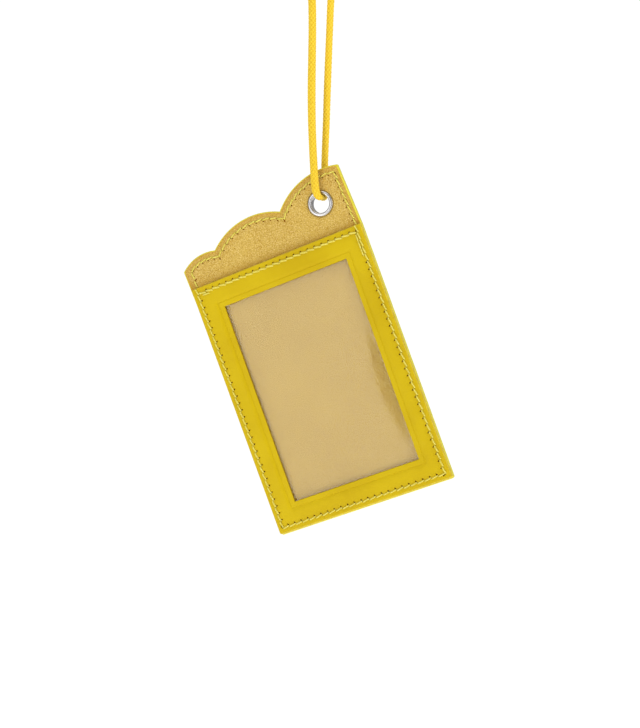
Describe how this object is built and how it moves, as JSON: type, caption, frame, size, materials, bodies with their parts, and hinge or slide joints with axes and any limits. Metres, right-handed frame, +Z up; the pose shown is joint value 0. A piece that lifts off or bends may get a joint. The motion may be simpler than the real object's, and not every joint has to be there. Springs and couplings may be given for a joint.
{
  "type": "luggage tag",
  "caption": "Hanging leather luggage tag with a clear-windowed card pocket, a scalloped suede flap, a metal eyelet and a knotted cord loop.",
  "frame": {"origin": "seat of the hook inside the top of the cord loop", "axes": "+Z up, the tag's front and window face -Y, +X to the right seen from the front"},
  "size_m": [0.1032, 0.0107, 0.2682],
  "materials": {
    "grain_leather": "smooth pressed calf leather, satin finish, painted edges",
    "suede": "fine short nap, matt",
    "clear_sheet": "clear flexible sheet, glossy",
    "nickel": "polished nickel plate",
    "thread": "waxed polyester thread",
    "cord": "round braided waxed cotton"
  },
  "bodies": {
    "hook_end": {"cord_hook_end": "cord", "cord_knot": "cord", "cord_flex": "cord"},
    "cord": {"cord_drop": "cord"},
    "tag": {"back_panel": "grain_leather", "suede_lining": "suede", "front_frame": "grain_leather", "window_sheet": "clear_sheet", "eyelet_barrel": "nickel", "eyelet_washer": "nickel", "perimeter_thread_front": "thread", "perimeter_thread_back": "thread", "upper_thread_front": "thread", "upper_thread_back": "thread"}
  },
  "joints": [
    {"name": "cord_sway", "type": "hinge", "parent": "hook_end", "child": "cord", "pos_m": [0, 0, -0.022], "axis": [1, 0, 0], "range_deg": [-60, 60], "deforming": ["cord_flex"]},
    {"name": "tag_swing", "type": "hinge", "parent": "cord", "child": "tag", "pos_m": [0, 0, -0.1166], "axis": [0, 1, 0], "range_deg": [-65, 90]}
  ]
}
